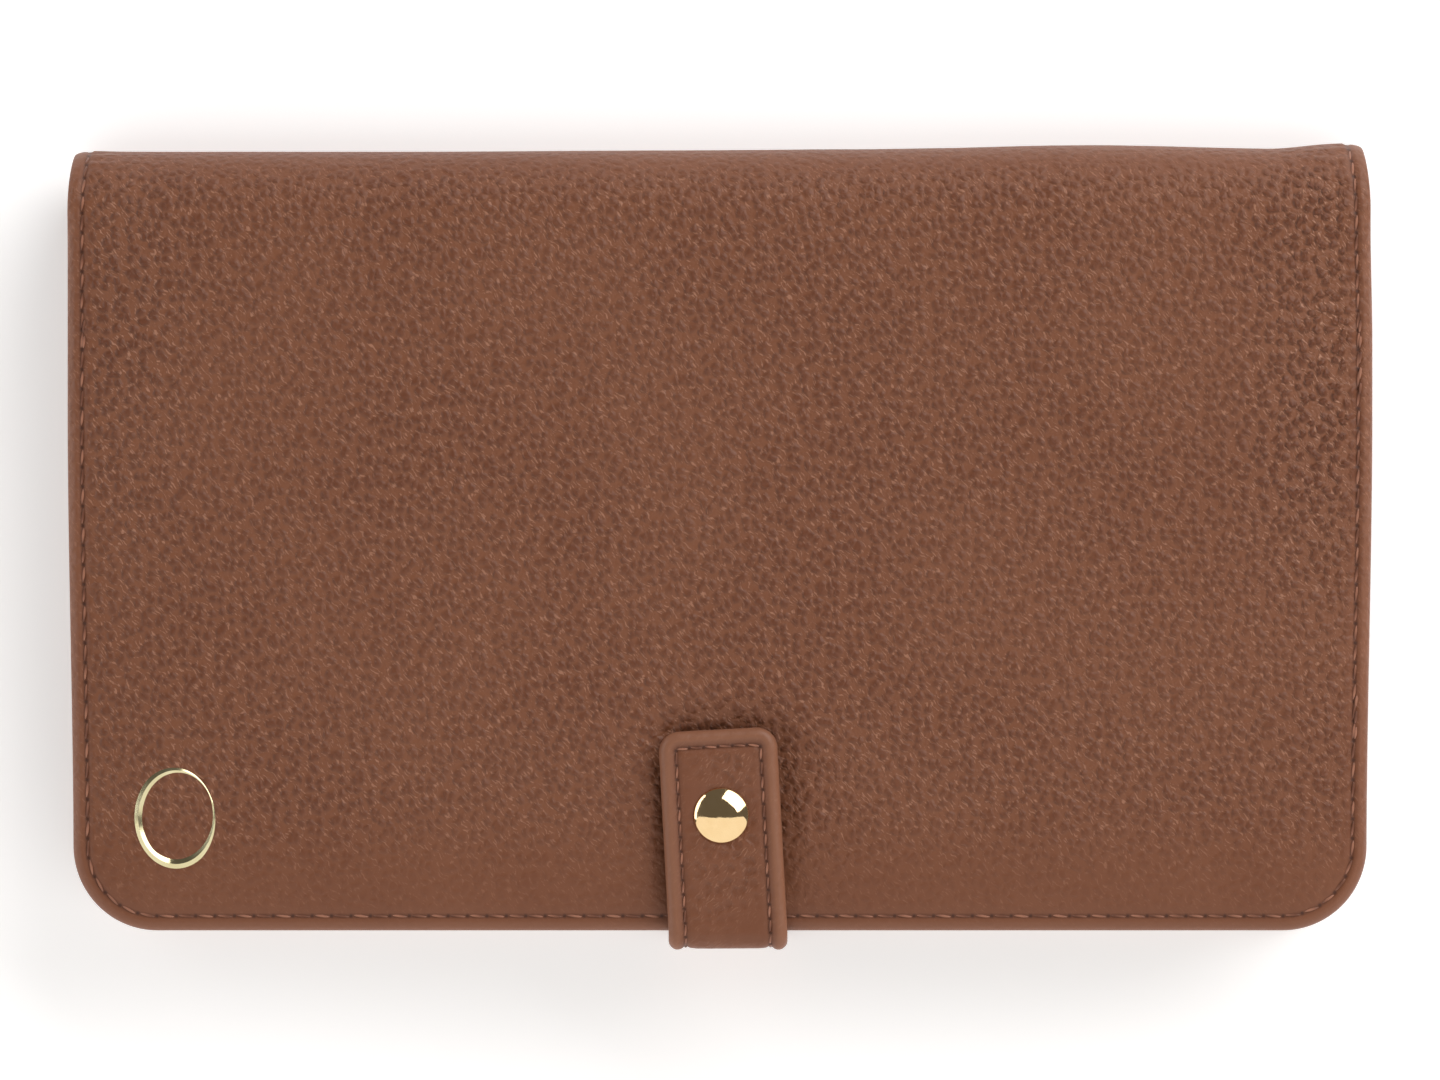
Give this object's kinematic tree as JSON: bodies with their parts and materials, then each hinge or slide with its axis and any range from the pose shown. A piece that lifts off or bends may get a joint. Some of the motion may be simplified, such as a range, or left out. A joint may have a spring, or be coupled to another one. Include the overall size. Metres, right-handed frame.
{
  "type": "long wallet",
  "caption": "Long folding wallet in grained leather with a snap strap, card pockets, note pockets, a zipped coin pocket and an identity window.",
  "frame": {"origin": "middle of the back cover's outer face, which the closed wallet lies on", "axes": "+X along the wallet's length, +Y towards the fold, +Z out through the front cover, against the closed thickness"},
  "size_m": [0.2, 0.1225, 0.0256],
  "materials": {
    "cover_leather": "satin",
    "strap_leather": "satin",
    "pocket_leather": "matte",
    "lining_cloth": "matte",
    "foam": "matte",
    "board": "matte",
    "thread": "satin",
    "gold_metal": "polished",
    "zip_metal": "polished",
    "zip_tape": "matte",
    "clear_film": "gloss"
  },
  "bodies": {
    "back": {"back_cover_leather": "cover_leather", "back_foam": "foam", "back_board": "board", "back_lining": "lining_cloth", "back_edge_thread": "thread", "back_note_pocket": "pocket_leather", "coin_pocket_wall": "lining_cloth", "coin_pocket_face": "pocket_leather", "coin_pocket_top_strip": "pocket_leather", "zip_tape_lower": "zip_tape", "zip_tape_upper": "zip_tape", "zip_teeth_lower": "zip_metal", "zip_teeth_upper": "zip_metal", "zip_stops": "zip_metal", "id_window_pocket": "pocket_leather", "id_window_film": "clear_film", "slip_pocket": "pocket_leather", "strap_tail": "strap_leather"},
    "spine": {"spine_leather": "cover_leather", "spine_lining": "lining_cloth"},
    "front": {"front_cover_leather": "cover_leather", "front_foam": "foam", "front_board": "board", "front_lining": "lining_cloth", "front_edge_thread": "thread", "front_note_pocket": "pocket_leather", "card_pocket_left_1": "pocket_leather", "card_pocket_left_2": "pocket_leather", "card_pocket_left_3": "pocket_leather", "card_pocket_left_4": "pocket_leather", "card_pocket_right_1": "pocket_leather", "card_pocket_right_2": "pocket_leather", "card_pocket_right_3": "pocket_leather", "card_pocket_right_4": "pocket_leather", "snap_stud": "gold_metal", "snap_post": "gold_metal", "emblem_ring": "gold_metal", "emblem_washers": "gold_metal"},
    "strap_bridge": {"strap_bridge_leather": "strap_leather", "strap_bridge_lining": "lining_cloth"},
    "strap_tip": {"strap_tip_leather": "strap_leather", "strap_tip_lining": "lining_cloth", "strap_thread": "thread", "snap_cap": "gold_metal", "snap_socket": "gold_metal"},
    "slider": {"zip_slider": "zip_metal"},
    "pull": {"zip_pull_tab": "zip_metal"}
  },
  "joints": [
    {"name": "spine_fold", "type": "hinge", "parent": "back", "child": "spine", "pos_m": [0, 0.05784, 0.00216], "axis": [-1, 0, 0], "range_deg": [0, 88]},
    {"name": "cover_fold", "type": "hinge", "parent": "spine", "child": "front", "pos_m": [0, 0.05784, 0.01794], "axis": [-1, 0, 0], "range_deg": [0, 88]},
    {"name": "strap_bend", "type": "hinge", "parent": "back", "child": "strap_bridge", "pos_m": [0, -0.0615, 0.0022], "axis": [1, 0, 0], "range_deg": [0, 85]},
    {"name": "strap_snap", "type": "hinge", "parent": "strap_bridge", "child": "strap_tip", "pos_m": [0, -0.0615, 0.0227], "axis": [1, 0, 0], "range_deg": [0, 90]},
    {"name": "zip_slide", "type": "slide", "parent": "back", "child": "slider", "axis": [-1, 0, 0], "range_m": [0, 0.156]},
    {"name": "zip_pull_swing", "type": "hinge", "parent": "slider", "child": "pull", "pos_m": [0.08, 0.04045, 0.0089], "axis": [0, 0, 1], "range_deg": [-35, 35]}
  ],
  "couplings": [
    {"joint": "cover_fold", "follows": "spine_fold", "ratio": 1}
  ]
}
